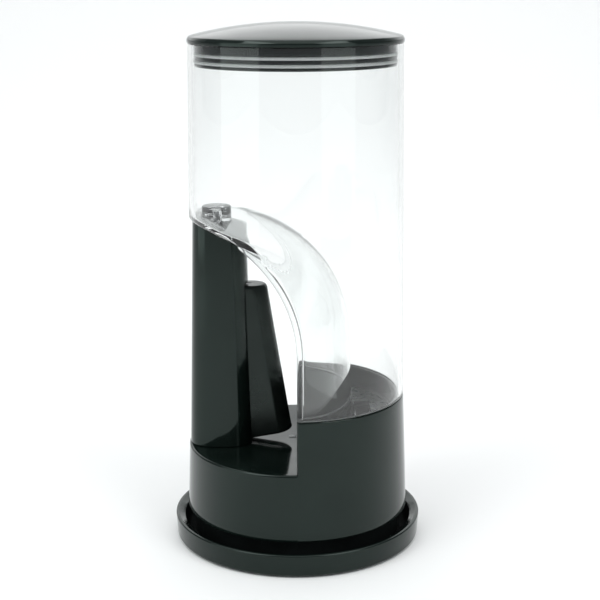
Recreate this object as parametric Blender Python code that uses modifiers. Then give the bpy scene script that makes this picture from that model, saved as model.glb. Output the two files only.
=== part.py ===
"""Hand-held portion dispenser for ground coffee or sugar: a clear canister on a black base that stands in a
saucer. A round grip post and a squeeze trigger sit in a notch of the canister, and the trigger drives a
metering slide in the base. +Z is up, the post is on the -X side, and the origin is on the table under the
canister's axis. Dimensions are in millimetres and are turned into metres where a mesh is made."""

import math

import bmesh
import bpy
from mathutils import Matrix, Vector

MM = 0.001
SEGMENTS = 56                # sides of every large turned part
GAP = 0.3                    # clearance between parts that touch

# Canister and base: both widen a little downwards, as moulded parts do
CANISTER_RADIUS = 59.0       # outer radius at CANISTER_MID_Z
CANISTER_MID_Z = 177.0
CANISTER_DRAFT = 0.0132      # radius lost per unit of height
CANISTER_BOTTOM_Z = 84.4
CANISTER_TOP_Z = 277.2
CANISTER_WALL = 2.8
BASE_RADIUS = 61.0           # outer radius at BASE_MID_Z
BASE_MID_Z = 59.0
BASE_DRAFT = 0.035
BASE_BOTTOM_Z = 17.5
BASE_RIM_Z = 84.1
BASE_WALL = 2.5
FLOOR_Z = 54.9               # low floor that the fingers reach down to
TRAY_FLOOR_Z = 72.2
TRAY_RADIUS = 55.6
RIM_ROUND = 2.0              # rounding of the low floor's outer edge

# Notch for the hand: an arch through the canister, with a bulged recess behind it
ARCH_SPRING_Z = 118.0        # height at which the arch starts to lean over
ARCH_CENTRE_X = -60.0
ARCH_HALF_WIDTH = 60.0
ARCH_RISE = 65.5
RECESS_CENTRE_X = -28.0
RECESS_HALF_WIDTH = 54.5
RECESS_RISE = 59.5
RECESS_HALF_DEPTH = 51.0     # half width of the bulge across the object
RECESS_FLARE = 0.055         # how fast the bulge grows below the spring line, down to RECESS_FOOT_Z
RECESS_FOOT_Z = 76.0
RECESS_WALL = 2.6

# Grip post
POST_X = -42.4
POST_HALF_LENGTH = 15.3      # half length along X at POST_MID_Z
POST_MID_Z = 159.0
POST_DRAFT = 0.0269
POST_ASPECT = 0.95           # width across, as a share of the length
POST_SQUARENESS = 2.8        # 2 is an ellipse, and more is a squarer outline
POST_WALL = 2.4
SLOT_HALF_WIDTH = 9.1
SLOT_TOP_Z = 147.2
POST_SCREW_Y = 12.6          # screws from under the floor into the post's foot, one on each side
CANISTER_SCREW_Z = (175.3, 185.6)    # underside of the head against the post's ceiling, and the tip

# Trigger, its pivot and the lever inside the post
PIVOT_X = -35.5
PIVOT_Z = 137.0
PIN_RADIUS = 2.5
PIN_HALF_LENGTH = 13.4
BORE_CLEARANCE = 0.06
TRIGGER_HALF_WIDTH = 8.5
TRIGGER_REAR_X = -41.0
TRIGGER_WALL = 2.0
NOSE_TIP_X = -2.9            # tip of the nose at NOSE_TIP_Z
NOSE_TIP_Z = 61.2
NOSE_LEAN = 0.1615           # how much the nose draws back per unit of height
TRIGGER_TOP_Z = 145.6
HEEL_Z = 57.2                # underside of the trigger behind HEEL_X
HEEL_X = -26.0
LEVER_HALF_WIDTH = 2.7
LEVER_HALF_THICKNESS = 2.0
LEVER_END_Z = 33.0

# Metering slide and its housing
POCKET_X = (33.0, 42.0)
POCKET_HALF_WIDTH = 14.0
STROKE = 12.1
SLIDE_Z = (20.3, 49.4)
SLIDE_HALF_WIDTH = 16.5
SLIDE_BAR_Z = (36.0, 40.0)
SLIDE_BAR_END_X = -44.0

# Cover, saucer and pads below the base
COVER_Z = (15.0, 17.2)
FOOT_RING_RADIUS = 58.5
FOOT_RING_WALL = 2.5
FOOT_RING_Z = 4.3            # bottom of the ring, just over the saucer's floor
SPOUT_WALL = 2.0
SPOUT_BOTTOM_Z = 9.0
SAUCER_RADIUS = 69.9
SAUCER_FLOOR_Z = 4.0
SAUCER_RIM_Z = 13.3

# Lid
LID_RADIUS = 58.2
LID_BOTTOM_Z = 277.5
LID_APEX_Z = 288.3
LID_DOME_RADIUS = 233.0
LID_WALL = 2.4
PLUG_RADIUS = 54.3
PLUG_BOTTOM_Z = 265.6
GASKET_RADIUS = 54.6
GASKETS_Z = ((271.1, 272.7), (267.3, 269.0))

BOSS_X = -44.0               # clear boss on the notch's ceiling, over the post's end screw
COVER_SCREW_RADIUS = 50.5
COVER_SCREW_ANGLES = (35, 145, 215, 325)

LARGE_SHELLS = ("base_shell", "base_hollow", "tray_hollow", "canister", "canister_room")

MATERIALS = {
    "black_gloss": ((0.012, 0.013, 0.013, 1.0), 0.12, 0.0),
    "black_satin": ((0.02, 0.02, 0.02, 1.0), 0.4, 0.0),
    "clear": ((0.93, 0.96, 0.96, 0.35), 0.04, 0.0),
    "gasket": ((0.86, 0.89, 0.87, 1.0), 0.5, 0.0),
    "steel": ((0.6, 0.6, 0.62, 1.0), 0.3, 1.0),
    "rubber": ((0.03, 0.03, 0.03, 1.0), 0.85, 0.0),
}


def clear_scene():
    for old in list(bpy.data.objects):
        bpy.data.objects.remove(old, do_unlink=True)


def new_collection(name):
    collection = bpy.data.collections.new(name)
    bpy.context.scene.collection.children.link(collection)
    return collection


def material(kind, name):
    colour, roughness, metallic = MATERIALS[kind]
    made = bpy.data.materials.new(name)
    made.use_nodes = True
    shader = made.node_tree.nodes["Principled BSDF"]
    shader.inputs["Base Color"].default_value = colour
    shader.inputs["Roughness"].default_value = roughness
    shader.inputs["Metallic"].default_value = metallic
    return made


def object_from(mesh_builder, name, kind=None, origin=(0.0, 0.0, 0.0)):
    """An object from a bmesh in millimetres: a part when it has a material kind, or else a cutter."""
    mesh = bpy.data.meshes.new(name)
    bmesh.ops.recalc_face_normals(mesh_builder, faces=mesh_builder.faces)
    mesh_builder.transform(Matrix.Scale(MM, 4) @ Matrix.Translation(-Vector(origin)))
    mesh_builder.to_mesh(mesh)
    mesh_builder.free()
    made = bpy.data.objects.new(name, mesh)
    made.location = Vector(origin) * MM
    if kind is None:
        CUTTERS.objects.link(made)
        made.hide_render = True
        made.display_type = "WIRE"
    else:
        PARTS.objects.link(made)
        mesh.materials.append(material(kind, name))
    return made


def smooth(made, angle=35):
    made.data.shade_smooth()
    made.data.set_sharp_from_angle(angle=math.radians(angle))
    return made


def turned(name, profile, kind=None, centre=(0.0, 0.0), steps=SEGMENTS):
    """A solid of revolution about a vertical axis. The profile runs over the top and down the outer side."""
    mesh = bpy.data.meshes.new(name)
    points = [(radius * MM, 0.0, height * MM) for radius, height in profile]
    closed = profile[0][0] > 0.0
    count = len(points)
    edges = [(i, i + 1) for i in range(count - 1)] + ([(count - 1, 0)] if closed else [])
    mesh.from_pydata(points, edges, [])
    made = bpy.data.objects.new(name, mesh)
    made.location = (centre[0] * MM, centre[1] * MM, 0.0)
    screw = made.modifiers.new("turn", "SCREW")
    screw.axis = "Z"
    screw.steps = screw.render_steps = steps
    screw.use_merge_vertices = True
    screw.merge_threshold = 0.00001
    screw.use_smooth_shade = True
    if kind is None:
        CUTTERS.objects.link(made)
        made.hide_render = True
        made.display_type = "WIRE"
    else:
        PARTS.objects.link(made)
        mesh.materials.append(material(kind, name))
    return made


def rod(name, radius, start, end, kind=None, sides=24, origin=(0.0, 0.0, 0.0)):
    """A round bar from one point to another."""
    first, last = Vector(start), Vector(end)
    along = last - first
    turn = along.to_track_quat("Z", "Y").to_matrix().to_4x4()
    place = Matrix.Translation((first + last) / 2) @ turn
    shape = bmesh.new()
    bmesh.ops.create_cone(shape, cap_ends=True, segments=sides, radius1=radius, radius2=radius,
                          depth=along.length, matrix=place)
    return object_from(shape, name, kind, origin)


def block(name, low, high, kind=None, origin=(0.0, 0.0, 0.0)):
    low, high = Vector(low), Vector(high)
    size = high - low
    place = Matrix.Translation((low + high) / 2) @ Matrix.Diagonal((size.x, size.y, size.z, 1.0))
    shape = bmesh.new()
    bmesh.ops.create_cube(shape, size=1.0, matrix=place)
    return object_from(shape, name, kind, origin)


def loft(name, sections, kind=None, origin=(0.0, 0.0, 0.0)):
    """A closed solid through rings of points, all of the same count, from bottom to top."""
    shape = bmesh.new()
    rings = [[shape.verts.new(point) for point in section] for section in sections]
    count = len(rings[0])
    for below, above in zip(rings, rings[1:]):
        for i in range(count):
            j = (i + 1) % count
            shape.faces.new((below[i], below[j], above[j], above[i]))
    shape.faces.new(list(reversed(rings[0])))
    shape.faces.new(rings[-1])
    return object_from(shape, name, kind, origin)


def boolean(target, other, operation="DIFFERENCE"):
    """Adds, cuts or crosses two solids. The exact solver leaves open edges in the large shells."""
    step = target.modifiers.new(f"{operation.lower()} {other.name}", "BOOLEAN")
    step.operation = operation
    step.object = other
    step.solver = "MANIFOLD" if target.name in LARGE_SHELLS else "EXACT"


def canister_radius(z):
    return CANISTER_RADIUS - CANISTER_DRAFT * (z - CANISTER_MID_Z)


def base_radius(z):
    return BASE_RADIUS - BASE_DRAFT * (z - BASE_MID_Z)


def rounded(centre, radius, start, end, steps=4):
    """Points of an arc in a profile, from one angle to another in degrees."""
    angles = [math.radians(start + (end - start) * i / steps) for i in range(steps + 1)]
    return [(centre[0] + radius * math.cos(a), centre[1] + radius * math.sin(a)) for a in angles]


def ellipse_reach(centre, half_width, rise, height):
    """How far along X an arch reaches at a height above its spring line."""
    share = min(height / rise, 1.0)
    return centre + half_width * math.sqrt(1.0 - share * share)


def notch_section(z, grow):
    """Outline of the notch at one height: the flat flange on each side, and the bulge between them."""
    above = max(z - ARCH_SPRING_Z, 0.0)
    below = max(ARCH_SPRING_Z - max(z, RECESS_FOOT_Z), 0.0)
    edge = ellipse_reach(ARCH_CENTRE_X, ARCH_HALF_WIDTH + grow, ARCH_RISE + grow, above)
    bulge = 0.0
    if above <= RECESS_RISE + grow:
        reach = ellipse_reach(RECESS_CENTRE_X, RECESS_HALF_WIDTH + grow, RECESS_RISE + grow, above)
        bulge = reach + RECESS_FLARE * below - edge
    outside = 80.0
    bends = [math.radians(-90 + 10 * i) for i in range(19)]
    depth = RECESS_HALF_DEPTH + grow
    face = [(edge + bulge * math.cos(a), depth * math.sin(a), z) for a in bends]
    return [(-outside, -outside, z), (edge, -outside, z), *face, (edge, outside, z), (-outside, outside, z)]


def notch_solid(name, grow=0.0, bottom=40.0):
    """The space that the hand reaches into, or with grow the same space with its wall around it."""
    step = 0.8
    recess_top = ARCH_SPRING_Z + RECESS_RISE + grow
    arch_top = ARCH_SPRING_Z + ARCH_RISE + grow
    heights = [bottom, RECESS_FOOT_Z, ARCH_SPRING_Z]
    rise = recess_top - ARCH_SPRING_Z
    angles = (12, 24, 35, 45, 54, 63, 72, 81, 90)
    heights += [ARCH_SPRING_Z + rise * math.sin(math.radians(a)) for a in angles]
    heights += [recess_top + step, (recess_top + arch_top) / 2, arch_top]
    return loft(name, [notch_section(z, grow) for z in heights])


def tapered_cylinder(name, radius_at, bottom, top, inset=0.0, kind=None):
    """A round solid whose radius follows radius_at, less an inset."""
    return turned(name, [(0.0, top), (radius_at(top) - inset, top), (radius_at(bottom) - inset, bottom),
                         (0.0, bottom)], kind)


def make_saucer():
    """Shallow saucer with a steep wall, whose top slopes inwards behind a narrow lip."""
    lip = 1.1
    profile = [(0.0, SAUCER_FLOOR_Z), (62.6, SAUCER_FLOOR_Z), (63.8, 5.0), (64.6, 10.6), (65.4, 11.8)]
    profile += rounded((SAUCER_RADIUS - lip, SAUCER_RIM_Z - lip), lip, 116, 0, 5)
    profile += [(SAUCER_RADIUS - 0.9, 1.8), (SAUCER_RADIUS - 2.1, 0.6), (64.0, 0.6), (62.6, 1.4), (0.0, 1.4)]
    turned("saucer", profile, "black_gloss")


def make_pads():
    for i in range(4):
        angle = math.radians(45 + 90 * i)
        x, y = 50.0 * math.cos(angle), 50.0 * math.sin(angle)
        smooth(rod(f"foot_pad_{i + 1}", 6.0, (x, y, 0.0), (x, y, 1.1), "rubber", 20))


def make_bottom_cover():
    low, high = COVER_Z
    inner = FOOT_RING_RADIUS - FOOT_RING_WALL
    profile = [(0.0, high), (FOOT_RING_RADIUS, high), (FOOT_RING_RADIUS, FOOT_RING_Z), (inner, FOOT_RING_Z),
               (inner, low), (0.0, low)]
    cover = turned("bottom_cover", profile, "black_satin")
    chute_x = (POCKET_X[0] - STROKE, POCKET_X[1] - STROKE)
    half = POCKET_HALF_WIDTH
    outside = block("spout_outside", (chute_x[0] - SPOUT_WALL, -half - SPOUT_WALL, SPOUT_BOTTOM_Z),
                    (chute_x[1] + SPOUT_WALL, half + SPOUT_WALL, COVER_Z[0] + 1.0))
    boolean(cover, outside, "UNION")
    boolean(cover, block("spout_inside", (chute_x[0], -half, 5.0), (chute_x[1], half, 20.0)))
    for i, (x, y) in enumerate(cover_screw_places()):
        boolean(cover, rod(f"cover_hole_{i + 1}", 1.8, (x, y, 5.0), (x, y, 20.0), sides=12))


def cover_screw_places():
    angles = [math.radians(a) for a in COVER_SCREW_ANGLES]
    return [(COVER_SCREW_RADIUS * math.cos(a), COVER_SCREW_RADIUS * math.sin(a)) for a in angles]


def make_screw(name, x, y, head_z, tip_z, kind="steel"):
    """A pan-head screw that points up: head below head_z, shank up to tip_z."""
    head, shank, height = 2.8, 1.4, 1.8
    profile = [(0.0, tip_z), (shank * 0.4, tip_z), (shank, tip_z - 1.5), (shank, head_z), (head, head_z),
               (head, head_z - height * 0.6), (head * 0.7, head_z - height), (0.0, head_z - height)]
    turned(name, profile, kind, (x, y), steps=16)


def make_base_shell():
    """Base with a low floor for the fingers, and a raised part that holds the canister and the tray."""
    edge = 1.0
    outer = [(0.0, BASE_RIM_Z)]
    outer += rounded((base_radius(BASE_RIM_Z) - edge, BASE_RIM_Z - edge), edge, 90, 0, 3)
    outer += rounded((base_radius(BASE_BOTTOM_Z) - edge, BASE_BOTTOM_Z + edge), edge, 0, -90, 3)
    outer += [(0.0, BASE_BOTTOM_Z)]
    shell = turned("base_shell", outer, "black_gloss")
    boolean(shell, notch_solid("finger_space", bottom=FLOOR_Z))

    rim = base_radius(FLOOR_Z - RIM_ROUND)
    corner = [(rim + 4.0, FLOOR_Z + 2.0), (rim + 4.0, FLOOR_Z - RIM_ROUND)]
    corner += rounded((rim - RIM_ROUND, FLOOR_Z - RIM_ROUND), RIM_ROUND, 0, 90, 4)
    corner += [(rim - RIM_ROUND, FLOOR_Z + 2.0)]
    rim_cutter = turned("rim_rounding", corner)
    boolean(rim_cutter, notch_solid("rim_rounding_limit", -0.05, FLOOR_Z - 10.0), "INTERSECT")
    boolean(shell, rim_cutter)

    hollow = tapered_cylinder("base_hollow", base_radius, 10.0, TRAY_FLOOR_Z - BASE_WALL, BASE_WALL)
    boolean(hollow, notch_solid("base_hollow_limit", BASE_WALL, FLOOR_Z - BASE_WALL))
    boolean(shell, hollow)
    tray = turned("tray_hollow", [(0.0, 95.0), (TRAY_RADIUS, 95.0), (TRAY_RADIUS - 0.4, TRAY_FLOOR_Z),
                                  (0.0, TRAY_FLOOR_Z)])
    boolean(tray, notch_solid("tray_limit", RECESS_WALL + 0.2))
    boolean(shell, tray)

    half = POCKET_HALF_WIDTH
    boolean(shell, block("tray_outlet", (POCKET_X[0], -half, 60.0), (POCKET_X[1], half, 80.0)))
    boolean(shell, block("lever_slot", (-49.7, -3.0, 45.0), (-31.5, 3.0, 60.0)))
    for i, (x, y) in enumerate(cover_screw_places()):
        top = FLOOR_Z - 1.0 if x < 0 else TRAY_FLOOR_Z - 1.0
        boolean(shell, rod(f"screw_post_{i + 1}", 4.0, (x, y, BASE_BOTTOM_Z), (x, y, top), sides=16), "UNION")
        boolean(shell, rod(f"screw_bore_{i + 1}", 1.8, (x, y, 10.0), (x, y, 34.0), sides=12))
    for i, y in enumerate((-POST_SCREW_Y, POST_SCREW_Y)):
        boolean(shell, rod(f"post_bore_{i + 1}", 1.8, (POST_X, y, 45.0), (POST_X, y, 60.0), sides=12))


def make_metering():
    """Chute under the tray, housing, and the slide with its pocket and pull bar."""
    half = POCKET_HALF_WIDTH
    low, high = SLIDE_Z
    wall = 1.2
    chute = block("hopper_chute", (POCKET_X[0] - wall, -half - wall, 52.3),
                  (POCKET_X[1] + wall, half + wall, TRAY_FLOOR_Z - BASE_WALL - GAP), "black_satin")
    boolean(chute, block("chute_hollow", (POCKET_X[0], -half, 40.0), (POCKET_X[1], half, 80.0)))

    side = SLIDE_HALF_WIDTH + GAP
    housing = block("metering_housing", (9.0, -side - 2.2, BASE_BOTTOM_Z + 0.1), (50.0, side + 2.2, 52.0),
                    "black_satin")
    boolean(housing, block("slide_way", (0.0, -side, low - GAP), (60.0, side, high + GAP)))
    boolean(housing, block("housing_inlet", (POCKET_X[0], -half, 45.0), (POCKET_X[1], half, 60.0)))
    boolean(housing, block("housing_outlet", (POCKET_X[0] - STROKE, -half, 10.0),
                           (POCKET_X[1] - STROKE, half, 25.0)))

    slide = block("metering_slide", (POCKET_X[0] - 2.3, -SLIDE_HALF_WIDTH, low),
                  (POCKET_X[1] + STROKE + 0.4, SLIDE_HALF_WIDTH, high), "black_satin")
    boolean(slide, block("pocket", (POCKET_X[0], -half, 10.0), (POCKET_X[1], half, 60.0)))
    bar = block("slide_bar", (SLIDE_BAR_END_X, -5.0, SLIDE_BAR_Z[0]),
                (POCKET_X[0] - 1.0, 5.0, SLIDE_BAR_Z[1]))
    boolean(slide, bar, "UNION")
    boolean(slide, block("lever_eye", (PIVOT_X - 3.4, -2.4, 30.0), (PIVOT_X + 3.4, 2.4, 45.0)))


def post_ring(z, inset=0.0, sides=40):
    """Outline of the post at one height, between a circle and a square with rounded corners."""
    half = POST_HALF_LENGTH - POST_DRAFT * (z - POST_MID_Z)
    across = half * POST_ASPECT
    ring = []
    for i in range(sides):
        cosine, sine = (turn(2.0 * math.pi * i / sides) for turn in (math.cos, math.sin))
        x, y = (math.copysign(abs(v) ** (2.0 / POST_SQUARENESS), v) for v in (cosine, sine))
        ring.append((POST_X + (half - inset) * x, (across - inset) * y, z))
    return ring


def make_post():
    """Hollow grip post, cut along the arch at its top and slotted for the trigger on its inner side."""
    foot = FLOOR_Z + GAP
    post = loft("grip_post", [post_ring(foot), post_ring(190.0)], "black_gloss")
    boolean(post, notch_solid("post_ceiling", -GAP - 0.1), "INTERSECT")
    hollow = loft("post_hollow", [post_ring(40.0, POST_WALL), post_ring(190.0, POST_WALL)])
    boolean(hollow, notch_solid("post_ceiling_inside", -4.0), "INTERSECT")
    boolean(post, hollow)
    slot = block("trigger_slot", (POST_X, -SLOT_HALF_WIDTH, 40.0), (-10.0, SLOT_HALF_WIDTH, SLOT_TOP_Z))
    boolean(post, slot)
    bore = PIN_RADIUS + BORE_CLEARANCE
    bore_end = PIN_HALF_LENGTH + GAP
    boolean(post, rod("pivot_bore", bore, (PIVOT_X, -bore_end, PIVOT_Z), (PIVOT_X, bore_end, PIVOT_Z)))
    for i, y in enumerate((-POST_SCREW_Y, POST_SCREW_Y)):
        lug_y = y * 0.97
        lug = rod(f"foot_lug_{i + 1}", 2.9, (POST_X, lug_y, foot), (POST_X, lug_y, foot + 12.0), sides=16)
        boolean(post, lug, "UNION")
        boolean(post, rod(f"foot_bore_{i + 1}", 1.6, (POST_X, y, 50.0), (POST_X, y, foot + 8.0), sides=12))
    boolean(post, rod("end_bore", 1.6, (BOSS_X, 0.0, 160.0), (BOSS_X, 0.0, 190.0), sides=12))
    smooth(post)


def trigger_section(share, inset=0.0, rear=TRIGGER_REAR_X):
    """Plan outline of the trigger at a share of its height: straight sides and a round nose."""
    half = TRIGGER_HALF_WIDTH - inset
    top = TRIGGER_TOP_Z - inset
    rounding = min(max(0.0, share - 0.965) / 0.035, 1.0) if inset == 0.0 else 0.0
    shrink = 2.4 * (1.0 - math.sqrt(1.0 - rounding * rounding))
    half -= shrink
    ring = [(rear, -half), *[None] * 9, (rear, half)]
    middle = NOSE_TIP_Z + (top - NOSE_TIP_Z) * share
    tip = NOSE_TIP_X - NOSE_LEAN * (middle - NOSE_TIP_Z) - inset - shrink
    for i in range(9):
        a = math.radians(-90 + 22.5 * i)
        ring[i + 1] = (tip - half + half * math.cos(a), half * math.sin(a))
    points = []
    for x, y in ring:
        heel = max(HEEL_Z, NOSE_TIP_Z - 0.17 * (NOSE_TIP_X - x)) + inset
        points.append((x, y, heel + (top - heel) * share))
    return points


def make_trigger():
    """Hollow squeeze trigger, open at its back, with the lever that reaches down into the base."""
    pivot = (PIVOT_X, 0.0, PIVOT_Z)
    shares = (0.0, 0.33, 0.66, 0.965, 0.976, 0.99, 1.0)
    trigger = loft("trigger", [trigger_section(s) for s in shares], "black_gloss", pivot)
    rings = [trigger_section(s, TRIGGER_WALL, TRIGGER_REAR_X - 10.0) for s in (0.0, 1.0)]
    boolean(trigger, loft("trigger_hollow", rings))
    bore = PIN_RADIUS + BORE_CLEARANCE
    boolean(trigger, rod("trigger_bore", bore, (PIVOT_X, -15.0, PIVOT_Z), (PIVOT_X, 15.0, PIVOT_Z)))
    half = LEVER_HALF_THICKNESS
    boolean(trigger, block("lever_way", (TRIGGER_REAR_X - 5.0, -half - 0.4, 50.0),
                           (PIVOT_X + LEVER_HALF_WIDTH + 0.4, half + 0.4, 65.0)))
    smooth(trigger)

    lever = block("trigger_lever", (PIVOT_X - LEVER_HALF_WIDTH, -half, LEVER_END_Z),
                  (PIVOT_X + LEVER_HALF_WIDTH, half, PIVOT_Z), "black_satin", pivot)
    boolean(lever, rod("lever_head", 4.6, (PIVOT_X, -half, PIVOT_Z), (PIVOT_X, half, PIVOT_Z)), "UNION")
    boolean(lever, block("lever_arm", (PIVOT_X, -half, 95.0), (-17.5, half, 101.0)), "UNION")
    boolean(lever, rod("lever_bore", bore, (PIVOT_X, -9.0, PIVOT_Z), (PIVOT_X, 9.0, PIVOT_Z)))

    pin_end = PIN_HALF_LENGTH
    smooth(rod("pivot_pin", PIN_RADIUS, (PIVOT_X, -pin_end, PIVOT_Z), (PIVOT_X, pin_end, PIVOT_Z), "steel"))


def make_spring():
    """Torsion spring round the pivot pin: one leg on the post's wall, the other inside the trigger's nose."""
    coil, wire, pitch, turns, per_turn = 4.1, 0.5, 1.1, 2, 12
    first_angle, y = math.radians(200), 2.9
    points = [(-54.5, y, 120.0), (-47.0, y, 127.5)]
    for i in range(turns * per_turn + 5):
        a = first_angle - 2.0 * math.pi * i / per_turn
        points.append((PIVOT_X + coil * math.cos(a), y + pitch * i / per_turn, PIVOT_Z + coil * math.sin(a)))
    end_y = points[-1][1]
    points += [(-27.0, end_y, 130.0), (-21.5, end_y, 124.5)]
    curve = bpy.data.curves.new("return_spring", "CURVE")
    curve.dimensions = "3D"
    curve.bevel_depth = wire * MM
    curve.bevel_resolution = 1
    curve.use_fill_caps = True
    line = curve.splines.new("POLY")
    line.points.add(len(points) - 1)
    for spot, point in zip(line.points, points):
        spot.co = (*(Vector(point) * MM), 1.0)
    made = bpy.data.objects.new("return_spring", curve)
    PARTS.objects.link(made)
    curve.materials.append(material("steel", "return_spring"))


def make_canister():
    """Clear canister, with the notch and its recess wall moulded in and a boss over the post's end."""
    shell = tapered_cylinder("canister", canister_radius, CANISTER_BOTTOM_Z, CANISTER_TOP_Z, kind="clear")
    room = tapered_cylinder("canister_room", canister_radius, CANISTER_BOTTOM_Z - 5.0, CANISTER_TOP_Z + 5.0,
                            CANISTER_WALL)
    boolean(room, notch_solid("recess_wall", RECESS_WALL))
    boolean(room, rod("boss", 8.2, (BOSS_X, 0.0, 170.0), (BOSS_X, 0.0, 189.6), sides=32))
    boolean(shell, room)
    boolean(shell, notch_solid("notch"))
    boolean(shell, rod("boss_bore", 1.8, (BOSS_X, 0.0, 170.0), (BOSS_X, 0.0, 186.5), sides=12))


def make_lid():
    edge = 1.6
    dome_centre = LID_APEX_Z - LID_DOME_RADIUS
    arcs = [math.asin(r / LID_DOME_RADIUS) for r in (14.0, 28.0, 42.0, 52.0, LID_RADIUS - 1.2)]
    dome = [(LID_DOME_RADIUS * math.sin(a), dome_centre + LID_DOME_RADIUS * math.cos(a)) for a in arcs]
    rim = [(LID_RADIUS - 0.3, LID_BOTTOM_Z + edge + 1.2), (LID_RADIUS, LID_BOTTOM_Z + edge),
           (LID_RADIUS - 0.3, LID_BOTTOM_Z + 0.5), (LID_RADIUS - 0.8, LID_BOTTOM_Z),
           (52.0, LID_BOTTOM_Z), (52.0, LID_BOTTOM_Z + 3.0)]
    under = LID_DOME_RADIUS - LID_WALL
    inner = [(under * math.sin(a), dome_centre + under * math.cos(a)) for a in reversed(arcs[:3])]
    turned("lid_cap", [(0.0, LID_APEX_Z), *dome, *rim, *inner, (0.0, LID_APEX_Z - LID_WALL)], "black_gloss")

    wall, top = 2.6, LID_BOTTOM_Z - GAP
    groove = 1.1
    outer = [(PLUG_RADIUS, top)]
    for low, high in GASKETS_Z:
        outer += [(PLUG_RADIUS, high + 0.15), (PLUG_RADIUS - groove, high + 0.15),
                  (PLUG_RADIUS - groove, low - 0.15), (PLUG_RADIUS, low - 0.15)]
    outer += [(PLUG_RADIUS, PLUG_BOTTOM_Z + 0.5), (PLUG_RADIUS - 0.5, PLUG_BOTTOM_Z), (0.0, PLUG_BOTTOM_Z)]
    floor = PLUG_BOTTOM_Z + 2.0
    inside = [(0.0, floor), (PLUG_RADIUS - wall, floor), (PLUG_RADIUS - wall, top)]
    turned("lid_plug", [*inside, *outer], "black_gloss")
    for name, (low, high) in zip(("lid_gasket_upper", "lid_gasket_lower"), GASKETS_Z):
        inner_radius = PLUG_RADIUS - groove + 0.15
        ring = [(inner_radius, high), (GASKET_RADIUS, high), (GASKET_RADIUS, low), (inner_radius, low)]
        turned(name, ring, "gasket")


def make_screws():
    for i, (x, y) in enumerate(cover_screw_places()):
        make_screw(f"cover_screw_{i + 1}", x, y, COVER_Z[0] - 0.1, 31.0)
    for i, y in enumerate((-POST_SCREW_Y, POST_SCREW_Y)):
        make_screw(f"post_screw_{i + 1}", POST_X, y, FLOOR_Z - BASE_WALL - 0.1, 61.5)
    make_screw("canister_screw", BOSS_X, 0.0, *CANISTER_SCREW_Z)


clear_scene()
PARTS = new_collection("portion_dispenser")
CUTTERS = new_collection("cutters")
make_saucer()
make_pads()
make_bottom_cover()
make_base_shell()
make_metering()
make_post()
make_trigger()
make_spring()
make_canister()
make_lid()
make_screws()
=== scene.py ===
"""Looks of a hand-held portion dispenser for ground coffee or sugar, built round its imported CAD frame.

Sizes and places are in millimetres and are turned into metres where a mesh is made. +Z is up, the grip post
is on the -X side, and the camera looks along +Y."""

import math

import bmesh
import bpy
from mathutils import Matrix, Vector


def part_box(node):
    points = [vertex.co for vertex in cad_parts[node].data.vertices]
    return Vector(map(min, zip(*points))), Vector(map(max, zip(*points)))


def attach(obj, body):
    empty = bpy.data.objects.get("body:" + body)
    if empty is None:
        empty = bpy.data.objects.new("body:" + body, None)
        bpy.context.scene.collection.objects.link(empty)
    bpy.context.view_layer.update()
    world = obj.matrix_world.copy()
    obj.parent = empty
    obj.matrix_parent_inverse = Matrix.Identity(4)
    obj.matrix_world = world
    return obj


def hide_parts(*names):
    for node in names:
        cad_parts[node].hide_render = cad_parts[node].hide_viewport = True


MM = 0.001
TURNS = 192                  # sides of the large turned pieces

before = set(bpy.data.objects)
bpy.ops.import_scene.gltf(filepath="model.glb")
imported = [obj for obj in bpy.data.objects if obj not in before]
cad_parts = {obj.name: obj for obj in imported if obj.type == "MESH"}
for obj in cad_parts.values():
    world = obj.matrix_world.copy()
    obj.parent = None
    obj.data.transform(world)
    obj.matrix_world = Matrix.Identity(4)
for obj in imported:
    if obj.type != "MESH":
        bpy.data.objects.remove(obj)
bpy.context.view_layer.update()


def heights(node):
    """Bottom and top of a CAD node."""
    low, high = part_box(node)
    return low.z / MM, high.z / MM


# Walls of the canister and the base, which both widen a little downwards
CANISTER_Z = heights("canister")
CANISTER_WALL = 2.8
BASE_Z = heights("base_shell")
FLOOR_Z = heights("grip_post")[0] - 0.3
TRAY_FLOOR_Z = 72.2
TRAY_RADIUS = 55.6
LOW_RIM_ROUND = 1.3
SEAM_ROUND = 0.2             # corner of the raised part where it meets the low part's wall
BUTTON_PLACE = (-2.6, 1.5)   # small raised disc on the low floor, coloured pale grey
OUTLET_X = (33.0, 42.0)
OUTLET_HALF = 14.0

# Notch for the hand: an arch through the canister with a bulged recess behind it
SPRING_Z = 118.0
ARCH_X, ARCH_HALF, ARCH_RISE = -60.0, 60.0, 65.5
RECESS_X, RECESS_HALF, RECESS_RISE = -28.0, 54.5, 59.5
RECESS_DEPTH = 51.0
RECESS_FLARE = 0.055
RECESS_FOOT_Z = 76.0
RECESS_WALL = 2.6
EDGE_ROUND = 1.4

# Grip post and trigger
POST_X = -42.4
POST_HALF, POST_MID_Z, POST_DRAFT, POST_ASPECT = 15.3, 159.0, 0.0269, 0.95
POST_SQUARENESS = 2.8
POST_WALL = 2.4
SLOT_HALF, SLOT_TOP_Z = 9.1, 147.2
TRIGGER_HALF = 8.5
TRIGGER_REAR_X = -41.0
TRIGGER_WALL = 2.0
NOSE_X, NOSE_Z, NOSE_LEAN = -2.9, 61.2, 0.1615
TRIGGER_TOP_Z = heights("trigger")[1]
HEEL_Z = heights("trigger")[0]

# Clear boss over the post's end, and the bore for its screw
BOSS_X, BOSS_RADIUS, BOSS_TOP_Z, BOSS_FOOT_Z = -44.0, 8.2, 189.6, 180.5
BORE_RADIUS, BORE_TOP_Z = 1.8, 186.5

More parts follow.
